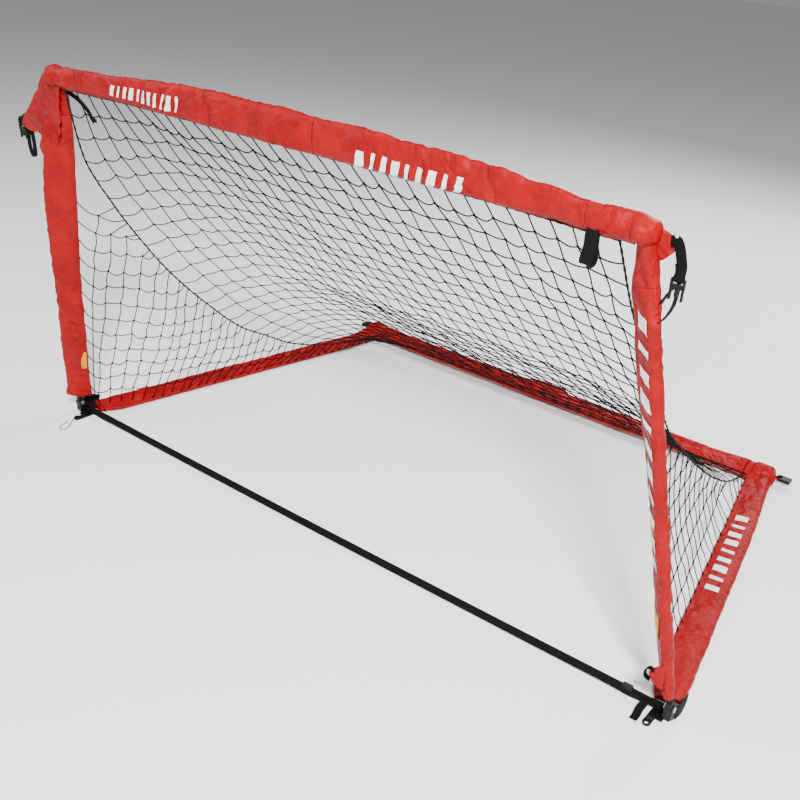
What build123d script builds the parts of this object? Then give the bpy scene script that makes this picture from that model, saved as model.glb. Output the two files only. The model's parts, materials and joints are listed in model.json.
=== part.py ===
from build123d import *
from math import asin, cos, radians, sin, sqrt
import os

# Folding lawn goal, millimetres, +Z up. +X runs across the mouth, +Y from the mouth to the back.
# The mouth arch (two posts and the crossbar) leans forward a little and hinges at both feet.
# The crossbar and the rear bar are each two halves with a folding hub in the middle.

os.makedirs("parts", exist_ok=True)

# ---- driving dimensions -------------------------------------------------------------------------
FOOT_X = 1000.0  # half the distance between the foot hinges
CORNER_X = 790.0  # half the distance between the top corner hinges, and between the rear ones
DEPTH = 1160.0  # foot hinge to rear bar
ARCH_RISE = 978.0  # foot hinge to crossbar, along the leaning arch
LEAN = 4.5  # forward lean of the arch, degrees

TUBE_R = 6.35  # outer radius of every pole
BORE_R = 5.35  # inner radius of every pole
PLUG_R = 5.30  # end fittings fit inside the poles
PIN_R = 3.0
PIN_HOLE_R = 3.05
LOOSE_HOLE_R = 3.4  # the rear right corner takes up what play the frame has
HINGE_OFFSET = 11.0  # hinge axis to pole axis, so that the folded halves lie side by side
LAP = 22.0  # crossbar layer in front of the posts
BASE_Z = 14.0  # base pole axis above the ground
REAR_Z = 34.0  # rear bar axis above the ground: it laps over the base poles
FOOT_Z = 36.0  # foot hinge above the ground

HUB_R = 16.0
HUB_END = 34.0  # hub hinge to the end of the pole
HUB_BLOCK = 18.0  # hub hinge to the solid part of its fitting
PLATE = 6.1  # half thickness of a moulded fitting
TONGUE = 2.5  # half thickness of a hub tongue
SLACK = 0.1  # gap each side of a hub tongue
HUB_CAP = 8.6  # outer face of the fork ear that holds the button
CORNER_R = 12.0
CORNER_END = 30.0  # corner hinge to the end of the pole
PLUG_LEN = 25.0

BUTTON_R = 8.0
BUTTON_SEAT = 4.6
BUTTON_TRAVEL = 2.0
BUTTON_HEIGHT = 4.2
BUTTON_BASE = BUTTON_SEAT + BUTTON_TRAVEL + 0.2

SLEEVE_R = 8.6  # outer radius of a fabric sleeve round its pole
HEM_R = 2.2  # outer radius along its sewn hem
CLOTH = 0.8
ARCH_HEM = 58.0  # pole axis to hem on the posts and crossbar
BASE_HEM = 50.0  # pole axis to hem on the base and rear bar
SLEEVE_END = 46.0  # pole hinge to the end of its sleeve

NET = 0.6  # thickness of a net panel's stand-in slab, which gives it about the weight of real net
NET_LOW = 847.5  # back net from the rear bar to its fold line, which is where it sags most
NET_HIGH = 652.5  # back net from its fold line to the crossbar
ROPE_R = 2.5
HEAD_ROPE_R = 3.0
WEB_W = 20.0
WEB_T = 1.6
# reach and drop of the cloth tabs at the top corners
TABS = {"left": (190.0, 132.0), "right": (68.0, 24.0)}
CUT = 30.0  # how far a hole's cutter runs to each side of the piece
CLIP_GAP = 4.0  # end of the webbing's straight run to the buckle clip that hangs in its loop
CLIP_BAR_R = 2.2  # the bar of the buckle clip that the webbing is looped round, where the clip swings
STRAP_Z = 16.5  # middle of the ground strap at the feet
STRAP_SAG = 5.0
LUG_LEN = 24.0  # the lug that the ground strap is looped on
LUG_Y = 14.0
LUG_TOP = 29.0
EAR_IN = 6.1  # foot hinge ears, either side of the post's heel
EAR_OUT = 9.6
PEG_R = 5.0  # hole for a ground peg
PEG_IN = 30.0  # foot hinge to peg hole, inwards
PEG_FRONT = 36.0  # foot hinge to peg hole, forwards, so that a peg can be driven clear of the post
PEG_EYE = 9.0
PEG_PLATE = 4.0

# ---- reference planes ---------------------------------------------------------------------------
POST_TOP = ARCH_RISE + HINGE_OFFSET
button_face = LAP + BUTTON_BASE + BUTTON_HEIGHT
front_reach = (POST_TOP + BUTTON_R) * sin(radians(LEAN)) + button_face * cos(radians(LEAN))
FOOT_Y = -(DEPTH + HINGE_OFFSET + HUB_R - front_reach) / 2
REAR_Y = FOOT_Y + DEPTH
arch_up = Vector(0, -sin(radians(LEAN)), cos(radians(LEAN)))
arch_front = Vector(0, -cos(radians(LEAN)), -sin(radians(LEAN)))
foot_line = Vector(0, FOOT_Y, FOOT_Z)
ARCH = Plane(origin=foot_line, x_dir=(1, 0, 0), z_dir=arch_front)
CROSSBAR = Plane(origin=foot_line + arch_up * ARCH_RISE + arch_front * LAP, x_dir=(1, 0, 0), z_dir=arch_front)
REAR_BAR = Plane(origin=(0, REAR_Y, REAR_Z), x_dir=(1, 0, 0), z_dir=(0, 0, 1))
SIDES = {"left": -1, "right": 1}


def save(part, name):
    part.label = name
    export_step(part, f"parts/{name}.step")


def at(frame, u, v=0.0, w=0.0):
    """A point of a frame, in world coordinates."""
    return frame.origin + frame.x_dir * u + frame.y_dir * v + frame.z_dir * w


def along(start, end, side=None):
    """A plane at start whose normal points at end."""
    return Plane(origin=start, x_dir=side, z_dir=(end - start).normalized())


def rod(start, end, radius, bore=0.0):
    """A round bar or pole from start to end."""
    with BuildPart() as bar:
        with BuildSketch(along(start, end)):
            Circle(radius)
            if bore:
                Circle(bore, mode=Mode.SUBTRACT)
        extrude(amount=(end - start).length)
    return bar.part


def slab(frame, low, high, shapes):
    """The shapes, drawn in a frame's own plane, thick from low to high along its normal."""
    with BuildPart() as plate:
        with BuildSketch(frame.offset(low)):
            for shape in shapes:
                shape()
        extrude(amount=high - low)
    return plate.part


def disc(u, v, radius, mode=Mode.ADD):
    def draw():
        with Locations((u, v)):
            Circle(radius, mode=mode)

    return draw


def block(u0, u1, v0, v1, mode=Mode.ADD):
    def draw():
        with Locations(((u0 + u1) / 2, (v0 + v1) / 2)):
            Rectangle(abs(u1 - u0), abs(v1 - v0), mode=mode)

    return draw


def joined(*solids, cuts=()):
    """One moulded piece made of overlapping solids, less the cuts."""
    with BuildPart() as piece:
        for solid in solids:
            add(solid)
        for cut in cuts:
            add(cut, mode=Mode.SUBTRACT)
    return piece.part


def teardrop(radius, hem_radius, reach):
    """The outline of cloth drawn round a pole and sewn to itself along a hem at +x."""
    slope = asin((radius - hem_radius) / reach)
    s, c = sin(slope), cos(slope)
    Circle(radius)
    with Locations((reach, 0)):
        Circle(hem_radius)
    Polygon(
        (radius * s, radius * c),
        (reach + hem_radius * s, hem_radius * c),
        (reach + hem_radius * s, -hem_radius * c),
        (radius * s, -radius * c),
        align=None,
    )


def sleeve(start, end, hem_side, reach):
    """A cloth tube round a pole, flat towards its hem and open at both ends."""
    with BuildPart() as cloth:
        with BuildSketch(along(start, end, hem_side)):
            teardrop(SLEEVE_R, HEM_R, reach)
        extrude(amount=(end - start).length)
        with BuildSketch(along(start, end, hem_side)):
            teardrop(SLEEVE_R - CLOTH, HEM_R - CLOTH, reach)
        extrude(amount=(end - start).length, mode=Mode.SUBTRACT)
    return cloth.part


def panel(points, normal_gap=0.0, thickness=NET, order=None):
    """A flat sheet through the first three points, moved along its normal by normal_gap.

    The outline takes the points in the order given, each dropped onto the sheet's plane."""
    normal = (points[1] - points[0]).cross(points[2] - points[0]).normalized()
    sheet = Plane(origin=points[0] + normal * normal_gap, x_dir=points[1] - points[0], z_dir=normal)
    with BuildPart() as cloth:
        with BuildSketch(sheet):
            corners = [sheet.to_local_coords(points[i]) for i in order or range(len(points))]
            Polygon(*[(c.X, c.Y) for c in corners], align=None)
        extrude(amount=thickness)
    return cloth.part


# ---- folding bars: crossbar and rear bar --------------------------------------------------------
def hub_block(frame, side, layers):
    """The hinge plates of one half of a hub. Each layer is a low and a high face."""
    plates = [
        slab(frame, low, high, [disc(0, HINGE_OFFSET, HUB_R), block(0, side * HUB_END, -7, 9)])
        for low, high in layers
    ]
    return plates + [slab(frame, -PLATE, PLATE, [block(side * HUB_BLOCK, side * HUB_END, -7, 9)])]


def fold_bar(frame, name, hem_reach, corner_holes):
    """Both halves of a bar that folds in the middle, with the hub, its pin and its button."""
    fork_side = SIDES["left"]
    hinge_bore = rod(at(frame, 0, HINGE_OFFSET, -CUT), at(frame, 0, HINGE_OFFSET, CUT), PIN_HOLE_R)
    button_seat = rod(
        at(frame, 0, HINGE_OFFSET, BUTTON_SEAT), at(frame, 0, HINGE_OFFSET, HUB_CAP + 1), BUTTON_R + 0.1
    )
    inner = TONGUE + SLACK
    fork = joined(
        *hub_block(frame, fork_side, [(inner, HUB_CAP), (-PLATE, -inner)]),
        rod(at(frame, fork_side * HUB_END), at(frame, fork_side * (HUB_END + PLUG_LEN)), PLUG_R),
        cuts=[hinge_bore, button_seat],
    )
    save(fork, f"{name}_hub_fork")
    tongue = joined(
        *hub_block(frame, -fork_side, [(-TONGUE, TONGUE)]),
        rod(at(frame, -fork_side * HUB_END), at(frame, -fork_side * (HUB_END + PLUG_LEN)), PLUG_R),
        cuts=[hinge_bore],
    )
    save(tongue, f"{name}_hub_tongue")
    pin = joined(
        rod(at(frame, 0, HINGE_OFFSET, -PLATE - 0.1), at(frame, 0, HINGE_OFFSET, BUTTON_SEAT), PIN_R),
        rod(at(frame, 0, HINGE_OFFSET, -PLATE - 1.6), at(frame, 0, HINGE_OFFSET, -PLATE), PIN_R * 2),
    )
    save(pin, f"{name}_hub_pin")

    with BuildPart() as button:
        seat = at(frame, 0, HINGE_OFFSET, BUTTON_BASE)
        with BuildSketch(Plane(origin=seat, x_dir=frame.x_dir, z_dir=frame.z_dir)):
            Circle(BUTTON_R)
        extrude(amount=BUTTON_HEIGHT)
        rims = button.edges().filter_by(GeomType.CIRCLE)
        fillet(rims.sort_by(lambda e: -frame.to_local_coords(e.center()).Z)[0], 1.5)
    save(button.part, f"{name}_hub_button")

    for side_name, side in SIDES.items():
        corner = side * CORNER_X
        pole_end = side * (CORNER_X - CORNER_END)
        eye = slab(
            frame,
            -PLATE,
            PLATE,
            [disc(corner, HINGE_OFFSET, CORNER_R), block(corner, pole_end, -7, 9)],
        )
        end = joined(
            eye,
            rod(at(frame, pole_end), at(frame, pole_end - side * PLUG_LEN), PLUG_R),
            cuts=[
                rod(at(frame, corner, HINGE_OFFSET, -CUT), at(frame, corner, HINGE_OFFSET, CUT), corner_holes[side_name])
            ],
        )
        save(end, f"{name}_{side_name}_end")
        pole = rod(at(frame, pole_end), at(frame, side * HUB_END), TUBE_R, BORE_R)
        save(pole, f"{name}_{side_name}_pole")
        cover = sleeve(
            at(frame, side * (CORNER_X - SLEEVE_END)), at(frame, side * SLEEVE_END), -frame.y_dir, hem_reach
        )
        save(cover, f"{name}_{side_name}_sleeve")


fold_bar(CROSSBAR, "crossbar", ARCH_HEM, {"left": PIN_HOLE_R, "right": PIN_HOLE_R})
fold_bar(REAR_BAR, "rear_bar", BASE_HEM, {"left": PIN_HOLE_R, "right": LOOSE_HOLE_R})

# ---- line of the back net, which sags to its fold line and folds there when the arch is down ----
net_top = at(CROSSBAR, 0, -(ARCH_HEM + HEM_R + 3), -LAP + 4)
net_low = at(REAR_BAR, 0, -(BASE_HEM + HEM_R + 3), -4)
chord = net_top - net_low
reach_up = (NET_LOW**2 - NET_HIGH**2 + chord.length**2) / (2 * chord.length)
chord_dir = chord.normalized()
sag_dir = Vector(0, -chord_dir.Z, chord_dir.Y)
net_fold = net_low + chord_dir * reach_up + sag_dir * sqrt(NET_LOW**2 - reach_up**2)
net_half = CORNER_X - 75

# ---- posts and base poles -----------------------------------------------------------------------
for side_name, side in SIDES.items():
    foot = at(ARCH, side * FOOT_X)
    top = at(ARCH, side * CORNER_X, POST_TOP)
    post_dir = (top - foot).normalized()
    post_in = post_dir.cross(ARCH.z_dir) * side
    if post_in.X * side > 0:
        post_in = post_in * -1

    # post pole and its two moulded ends
    post_pole = rod(foot + post_dir * CORNER_END, top - post_dir * CORNER_END, TUBE_R, BORE_R)
    save(post_pole, f"{side_name}_post_pole")
    side_plane = Plane(origin=foot, x_dir=arch_front * -1, z_dir=(1, 0, 0))
    sole = (FOOT_Z - 8.0) / cos(radians(LEAN))
    heel = joined(
        slab(side_plane, -5.9, 5.9, [disc(0, 0, 10), block(-8, 8, -sole, 17), disc(0, -sole, 8)]),
        rod(foot + post_dir * 14, foot + post_dir * CORNER_END, TUBE_R),
        rod(foot + post_dir * CORNER_END, foot + post_dir * (CORNER_END + PLUG_LEN), PLUG_R),
        cuts=[rod(foot - Vector(30, 0, 0), foot + Vector(30, 0, 0), PIN_HOLE_R)],
    )
    save(heel, f"{side_name}_post_heel")
    lug = joined(
        slab(ARCH, -7.0, LAP - PLATE - 0.3, [disc(side * CORNER_X, POST_TOP, CORNER_R)]),
        rod(top - post_dir * CORNER_END, top - post_dir * 8, TUBE_R),
        rod(top - post_dir * (CORNER_END + PLUG_LEN), top - post_dir * CORNER_END, PLUG_R),
        cuts=[
            rod(at(ARCH, side * CORNER_X, POST_TOP, -CUT), at(ARCH, side * CORNER_X, POST_TOP, 2 * CUT), PIN_HOLE_R)
        ],
    )
    save(lug, f"{side_name}_post_top")
    corner_pin = joined(
        rod(
            at(ARCH, side * CORNER_X, POST_TOP, -7.2), at(ARCH, side * CORNER_X, POST_TOP, LAP + PLATE + 0.2), PIN_R
        ),
        rod(at(ARCH, side * CORNER_X, POST_TOP, -9.5), at(ARCH, side * CORNER_X, POST_TOP, -7), PIN_R * 2),
        rod(
            at(ARCH, side * CORNER_X, POST_TOP, LAP + PLATE + 0.2),
            at(ARCH, side * CORNER_X, POST_TOP, LAP + PLATE + 2.7),
            PIN_R * 2,
        ),
    )
    save(corner_pin, f"{side_name}_corner_pin")
    save(sleeve(foot + post_dir * 75, top - post_dir * 75, post_in, ARCH_HEM), f"{side_name}_post_sleeve")

    # base pole and its two moulded ends
    base_front = Vector(side * FOOT_X, FOOT_Y, BASE_Z)
    base_back = Vector(side * CORNER_X, REAR_Y + HINGE_OFFSET, BASE_Z)
    base_dir = (base_back - base_front).normalized()
    base_in = Vector(0, 0, side).cross(base_dir)
    base_pole = rod(base_front + base_dir * 42, base_back - base_dir * CORNER_END, TUBE_R, BORE_R)
    save(base_pole, f"{side_name}_base_pole")
    side_view = Plane(origin=(side * FOOT_X, FOOT_Y, 0), x_dir=(0, 1, 0), z_dir=(1, 0, 0))
    ears = [
        slab(side_view, low, high, [disc(0, FOOT_Z, 10), block(-8, 10, 10, FOOT_Z), block(6, 40, 0, 21)])
        for low, high in [(EAR_IN, EAR_OUT), (-EAR_OUT, -EAR_IN)]
    ]
    ear_x = side * (FOOT_X - EAR_OUT)
    strap_lug = Plane(origin=(ear_x, FOOT_Y + LUG_Y, 0), x_dir=(-side, 0, 0), z_dir=(0, side, 0))
    peg_x = side * (FOOT_X - PEG_IN)
    base_foot = joined(
        *ears,
        slab(side_view, -EAR_OUT, EAR_OUT, [block(16, 40, 0, 21)]),
        rod(base_front + base_dir * 36, base_front + base_dir * (42 + PLUG_LEN), PLUG_R),
        slab(
            strap_lug, -2, 2, [block(-1, LUG_LEN, 2, LUG_TOP), block(8, 12, 5.5, LUG_TOP - 2, Mode.SUBTRACT)]
        ),
        slab(
            Plane.XY,
            0,
            PEG_PLATE,
            [
                block(side * (FOOT_X - EAR_IN), peg_x, FOOT_Y - 13, FOOT_Y + 16),
                block(peg_x - PEG_EYE, peg_x + PEG_EYE, FOOT_Y - PEG_FRONT, FOOT_Y + 16),
                disc(peg_x, FOOT_Y - PEG_FRONT, PEG_EYE),
            ],
        ),
        cuts=[
            rod(foot - Vector(30, 0, 0), foot + Vector(30, 0, 0), PIN_R),
            slab(Plane.XY, -1, PEG_PLATE + 1, [disc(peg_x, FOOT_Y - PEG_FRONT, PEG_R)]),
        ],
    )
    save(base_foot, f"{side_name}_base_foot")
    boss_top = REAR_Z - PLATE - 0.3
    boss = joined(
        slab(Plane.XY, 0, boss_top, [disc(base_back.X, base_back.Y, CORNER_R)]),
        rod(base_back - base_dir * CORNER_END, base_back - base_dir * 6, TUBE_R),
        rod(base_back - base_dir * (CORNER_END + PLUG_LEN), base_back - base_dir * CORNER_END, PLUG_R),
        cuts=[slab(Plane.XY, 6, boss_top + 1, [disc(base_back.X, base_back.Y, PIN_R)])],
    )
    save(boss, f"{side_name}_rear_boss")
    pin_head = REAR_Z + PLATE + 0.2
    hinge_pins = joined(
        rod(foot - Vector(12, 0, 0), foot + Vector(12, 0, 0), PIN_R),
        rod(foot - Vector(12, 0, 0), foot - Vector(9.7, 0, 0), PIN_R * 2),
        rod(foot + Vector(9.7, 0, 0), foot + Vector(12, 0, 0), PIN_R * 2),
    )
    save(hinge_pins, f"{side_name}_foot_pin")
    rear_pin = joined(
        slab(Plane.XY, 6, pin_head, [disc(base_back.X, base_back.Y, PIN_R)]),
        slab(Plane.XY, pin_head, pin_head + 2.5, [disc(base_back.X, base_back.Y, PIN_R * 2)]),
    )
    save(rear_pin, f"{side_name}_rear_pin")
    base_cover = sleeve(base_front + base_dir * 70, base_back - base_dir * 75, base_in, BASE_HEM)
    save(base_cover, f"{side_name}_base_sleeve")

    # side net, between the post's hem, the base's hem and the corner-to-corner rope
    low_corner = foot + post_dir * 90 + post_in * (ARCH_HEM + 6)
    high_corner = top - post_dir * 110 + post_in * (ARCH_HEM + 6)
    back_corner = base_back - base_dir * 110 + base_in * (BASE_HEM + 6) + Vector(0, 0, 12)
    net_edge = Vector(high_corner.X, net_fold.Y, net_fold.Z + 30)
    save(panel([low_corner, back_corner, high_corner, net_edge], order=(0, 1, 3, 2)), f"{side_name}_side_net")

    # cloth corner tab at the top, its webbing and its half of a buckle
    tab_root = top - post_dir * 20
    out = post_in * -1
    reach, drop = TABS[side_name]
    tab = panel(
        [
            tab_root + out * 13,
            tab_root + out * 13 - post_dir * (drop + 60),
            tab_root + out * reach - post_dir * (drop + 10),
            tab_root + out * (reach - 8) - post_dir * (drop - 20),
        ],
        -1.0,
        WEB_T,
    )
    web_top = tab_root + out * (reach - 10) - post_dir * (drop + 8)
    web_low = web_top - Vector(0, 0, 30)
    web_plane = Plane(origin=web_low, x_dir=(1, 0, 0), z_dir=(0, 0, 1))
    with BuildPart() as webbing:
        with BuildSketch(web_plane):
            Rectangle(WEB_W, WEB_T)
        extrude(amount=(web_top - web_low).length)
    save(joined(tab, webbing.part), f"{side_name}_corner_tab")
    clip_face = Plane(origin=web_low - Vector(0, 0, CLIP_GAP), x_dir=(1, 0, 0), z_dir=(0, -1, 0))
    clip = joined(
        slab(clip_face, -3.5, 3.5, [block(-13, 13, -18, -CLIP_BAR_R), block(-10, 10, -10, 0, Mode.SUBTRACT)]),
        rod(at(clip_face, -13, -CLIP_BAR_R), at(clip_face, 13, -CLIP_BAR_R), CLIP_BAR_R),
        slab(
            clip_face, -2.2, 2.2, [block(-13, -9, -38, -16), block(9, 13, -38, -16), block(-3, 3, -32, -16)]
        ),
    )
    save(clip, f"{side_name}_buckle_clip")

    # the other half of the buckle, on a cloth tab beside the rear corner
    rear_root = base_back + Vector(side * 13, -4, 10)
    rear_tab = panel(
        [
            rear_root + Vector(0, -14, 0),
            rear_root + Vector(side * 24, -10, 0),
            rear_root + Vector(side * 24, 10, 0),
            rear_root + Vector(0, 10, 0),
        ],
        -1.0,
    )
    save(rear_tab, f"{side_name}_rear_tab")
    socket_plane = Plane(origin=rear_root + Vector(side * 24.5, 0, 0), x_dir=(side, 0, 0), z_dir=(0, 0, 1))
    socket = joined(
        slab(socket_plane, -5, 5, [block(0, 34, -14, 14)]),
        cuts=[
            slab(socket_plane, -3, 3, [block(8, 36, -11, 11)]),
            slab(socket_plane, -6, 6, [block(3, 6, -10, 10)]),
        ],
    )
    save(socket, f"{side_name}_buckle_socket")

# ---- back net ----------------------------------------------------------------------------------
across = Vector(net_half, 0, 0)
edge = across * 1.012
for name, hem_end, fold_end in [("upper", net_top, net_fold), ("lower", net_low, net_fold)]:
    run = (fold_end - hem_end).normalized()
    sheet_start = hem_end + run * (HEAD_ROPE_R + 1)
    sheet_end = fold_end - run * 0.5
    back_net = panel([sheet_start - across, sheet_end - across, sheet_end + across, sheet_start + across])
    save(back_net, f"back_net_{name}")
    rope_end = fold_end - run * (ROPE_R + 1)
    ropes = joined(
        rod(hem_end + run - edge, rope_end - edge, ROPE_R),
        rod(hem_end + run + edge, rope_end + edge, ROPE_R),
        rod(hem_end - edge * 1.005, hem_end + edge * 1.005, HEAD_ROPE_R),
    )
    save(ropes, f"seam_ropes_{name}")

# ---- ground strap between the feet --------------------------------------------------------------
strap_half = FOOT_X - EAR_OUT - LUG_LEN - 0.4
strap_y = FOOT_Y + LUG_Y
mouth = Plane(origin=(0, strap_y + WEB_T / 2, 0), x_dir=(1, 0, 0), z_dir=(0, -1, 0))
half_web = WEB_W / 2
with BuildPart() as strap:
    with BuildSketch(mouth):
        with BuildLine():
            top_line = ThreePointArc(
                (-strap_half, STRAP_Z + half_web),
                (0, STRAP_Z + half_web - STRAP_SAG),
                (strap_half, STRAP_Z + half_web),
            )
            low_line = ThreePointArc(
                (-strap_half, STRAP_Z - half_web),
                (0, STRAP_Z - half_web - STRAP_SAG),
                (strap_half, STRAP_Z - half_web),
            )
            Line(top_line @ 0, low_line @ 0)
            Line(top_line @ 1, low_line @ 1)
        make_face()
    extrude(amount=WEB_T)
save(strap.part, "ground_strap")

# sliding adjuster that takes up the strap, with the loose tail under it
adjuster_x = strap_half - 70
rise = STRAP_SAG * (adjuster_x / strap_half) ** 2
adjuster_z = STRAP_Z - STRAP_SAG + rise
adjuster_plane = Plane(origin=(adjuster_x, strap_y, adjuster_z), x_dir=(1, 0, 0), z_dir=(0, -1, 0))
with BuildPart() as adjuster:
    with BuildSketch(adjuster_plane.offset(-3.5)):
        RectangleRounded(24, 27, 3)
    extrude(amount=7)
    with BuildSketch(adjuster_plane.offset(-1.6)):
        Rectangle(30, 22.5)
    extrude(amount=3.2, mode=Mode.SUBTRACT)
save(adjuster.part, "strap_adjuster")

tail_start = Vector(FOOT_X - 62, strap_y - 6, 18)
tail_end = Vector(FOOT_X - 68, strap_y - 62, 2)
tail_across = Vector(WEB_W, 0, 0)
save(panel([tail_start, tail_end, tail_end + tail_across, tail_start + tail_across], 0, WEB_T), "strap_tail")
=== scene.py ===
import json
import math
import random
from collections import namedtuple

import bpy
from mathutils import Matrix, Vector, noise


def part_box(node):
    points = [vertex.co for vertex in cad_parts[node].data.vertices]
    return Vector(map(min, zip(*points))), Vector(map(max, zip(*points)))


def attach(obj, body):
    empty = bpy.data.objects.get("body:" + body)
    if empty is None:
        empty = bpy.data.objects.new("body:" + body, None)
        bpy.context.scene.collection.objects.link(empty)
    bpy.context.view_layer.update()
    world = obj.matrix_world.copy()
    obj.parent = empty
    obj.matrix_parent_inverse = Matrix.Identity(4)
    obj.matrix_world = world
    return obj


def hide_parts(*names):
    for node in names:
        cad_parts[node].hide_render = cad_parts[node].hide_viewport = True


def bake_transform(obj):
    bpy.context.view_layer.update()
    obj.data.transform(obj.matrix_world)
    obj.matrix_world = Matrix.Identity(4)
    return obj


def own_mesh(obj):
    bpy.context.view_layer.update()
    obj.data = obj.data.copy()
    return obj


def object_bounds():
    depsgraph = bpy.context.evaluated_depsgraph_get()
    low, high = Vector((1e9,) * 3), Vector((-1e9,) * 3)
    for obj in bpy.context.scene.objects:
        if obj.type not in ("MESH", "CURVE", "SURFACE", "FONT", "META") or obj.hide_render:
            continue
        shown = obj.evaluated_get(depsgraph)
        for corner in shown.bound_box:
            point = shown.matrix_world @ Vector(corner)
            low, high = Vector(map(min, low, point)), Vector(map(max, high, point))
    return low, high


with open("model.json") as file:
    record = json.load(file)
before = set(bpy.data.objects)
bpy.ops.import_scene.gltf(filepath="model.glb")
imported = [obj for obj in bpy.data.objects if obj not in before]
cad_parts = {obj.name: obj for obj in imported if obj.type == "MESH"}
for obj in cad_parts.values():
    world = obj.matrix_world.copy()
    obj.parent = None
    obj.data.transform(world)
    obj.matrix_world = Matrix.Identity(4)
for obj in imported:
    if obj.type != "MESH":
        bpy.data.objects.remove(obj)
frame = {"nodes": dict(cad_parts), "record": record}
cad_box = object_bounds()
joints = {j["name"]: j for j in frame["record"]["behaviour"]["joints"]}
chance = random.Random(11)
SIDES = ((-1, "left"), (1, "right"))
ACROSS = Vector((1, 0, 0))
RISE = Vector((0, 0, 1))


def pivot(name):
    return Vector(joints[name]["pos_m"])


def middle(node):
    low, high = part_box(node)
    return (Vector(low) + Vector(high)) / 2


def smooth(x, low, high):
    """0 below low, 1 above high, and a soft step between them."""
    t = min(1.0, max(0.0, (x - low) / (high - low)))
    return t * t * (3 - 2 * t)


def hump(x, a, b, c, d):
    """Rises from a to b and falls from c to d."""
    return smooth(x, a, b) * (1 - smooth(x, c, d))


def offsets(origin, *steps):
    """Points at the given steps from an origin."""
    return [origin + Vector(step) for step in steps]


def linked(obj):
    bpy.context.scene.collection.objects.link(obj)
    return obj



# ---- materials ----------------------------------------------------------------------------------
def material(name, color, rough, **sockets):
    """A material and its shader."""
    made = bpy.data.materials.new(name)
    made.use_nodes = True
    shader = made.node_tree.nodes["Principled BSDF"]
    shader.inputs["Base Color"].default_value = (*color, 1)
    shader.inputs["Roughness"].default_value = rough
    for socket, value in sockets.items():
        shader.inputs[socket.replace("_", " ")].default_value = value
    return made, shader


def node(made, kind, links=(), **values):
    """A new node. A value sets a property of it, or the socket of that name with _ for each space."""
    tree = made.node_tree
    found = tree.nodes.new(kind)
    for key, value in values.items():
        if hasattr(found, key):
            setattr(found, key, value)
        else:
            found.inputs[key.replace("_", " ")].default_value = value
    for source, socket in links:
        tree.links.new(source, found.inputs[socket])
    return found


def bumped(made, shader, layers):
    """Chains bump nodes. Each layer is a height output, a strength and a distance."""
    previous = None
    for height, strength, distance in layers:
        bump = node(made, "ShaderNodeBump", [(height, "Height")], Strength=strength, Distance=distance)
        if previous:
            made.node_tree.links.new(previous.outputs["Normal"], bump.inputs["Normal"])
        previous = bump
    made.node_tree.links.new(previous.outputs["Normal"], shader.inputs["Normal"])


def tinted(made, shader, factor, low, high):
    """The base colour goes from low to high with factor."""
    ramp = node(made, "ShaderNodeValToRGB", [(factor, "Fac")])
    ramp.color_ramp.elements[0].color = (*low, 1)
    ramp.color_ramp.elements[1].color = (*high, 1)
    made.node_tree.links.new(ramp.outputs["Color"], shader.inputs["Base Color"])


def cloud(made, scale, detail, distortion=0.0):
    """Noise over a piece's own place."""
    where = node(made, "ShaderNodeTexCoord")
    links = [(where.outputs["Object"], "Vector")]
    found = node(made, "ShaderNodeTexNoise", links, Scale=scale, Detail=detail, Distortion=distortion)
    return found.outputs["Fac"]


def weave(made, scale):
    """The height of crossing threads on a piece's own map."""
    where = node(made, "ShaderNodeTexCoord")
    links = [(where.outputs["UV"], "Vector")]
    warp, weft = (node(made, "ShaderNodeTexWave", links, bands_direction=way, Scale=scale) for way in "XY")
    threads = [(warp.outputs["Fac"], 0), (weft.outputs["Fac"], 1)]
    return node(made, "ShaderNodeMath", threads, operation="MAXIMUM").outputs["Value"]


def fabric(name, low, high, rough, thread, depth, creased=0.0, **sockets):
    """Woven cloth: thread is how many per metre, and creased the strength of its creases."""
    made, shader = material(name, high, rough, **sockets)
    tinted(made, shader, cloud(made, 17.0, 6.0), low, high)
    layers = [(weave(made, thread), depth, 0.0003), (cloud(made, 420.0, 2.0), 0.12, 0.0004)]
    if creased:
        folds, puckers = cloud(made, 11.0, 2.5, 1.6), cloud(made, 38.0, 3.0, 0.8)
        layers = [(folds, creased, 0.030), (puckers, creased * 0.8, 0.007)] + layers
    bumped(made, shader, layers)
    return made


def moulded(name, low, high, rough, grain, depth, **sockets):
    """A hard material with a fine grain and slightly uneven gloss."""
    made, shader = material(name, high, rough, **sockets)
    tinted(made, shader, cloud(made, 30.0, 5.0), low, high)
    grains = cloud(made, grain, 3.0)
    gloss = node(made, "ShaderNodeMapRange", [(grains, "Value")], To_Min=rough - 0.08, To_Max=rough + 0.10)
    made.node_tree.links.new(gloss.outputs["Result"], shader.inputs["Roughness"])
    bumped(made, shader, [(grains, depth, 0.0004)])
    return made


BLACK, WORN_BLACK = (0.0008, 0.0008, 0.0008), (0.003, 0.003, 0.003)
RED = fabric(
    "red_nylon", (0.12, 0.0, 0.0015), (0.34, 0.0, 0.003), 0.46, 700, 0.3, 0.55, Specular_IOR_Level=0.13,
)
THREAD = fabric("red_thread", (0.16, 0.0005, 0.001), (0.26, 0.001, 0.002), 0.6, 2500, 0.3)
PRINT = fabric("white_print", (0.74, 0.72, 0.72), (0.82, 0.81, 0.80), 0.5, 700, 0.25)
YELLOW = fabric(
    "yellow_label", (0.44, 0.19, 0.0), (0.56, 0.26, 0.0), 0.5, 900, 0.3, Specular_IOR_Level=0.08,
)
NET = fabric("net_cord", BLACK, WORN_BLACK, 0.8, 1800, 0.6, Specular_IOR_Level=0.08)
ROPE = fabric(
    "seam_rope", (0.002, 0.002, 0.002), (0.006, 0.005, 0.005), 0.75, 900, 0.6, Specular_IOR_Level=0.15,
)
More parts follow.
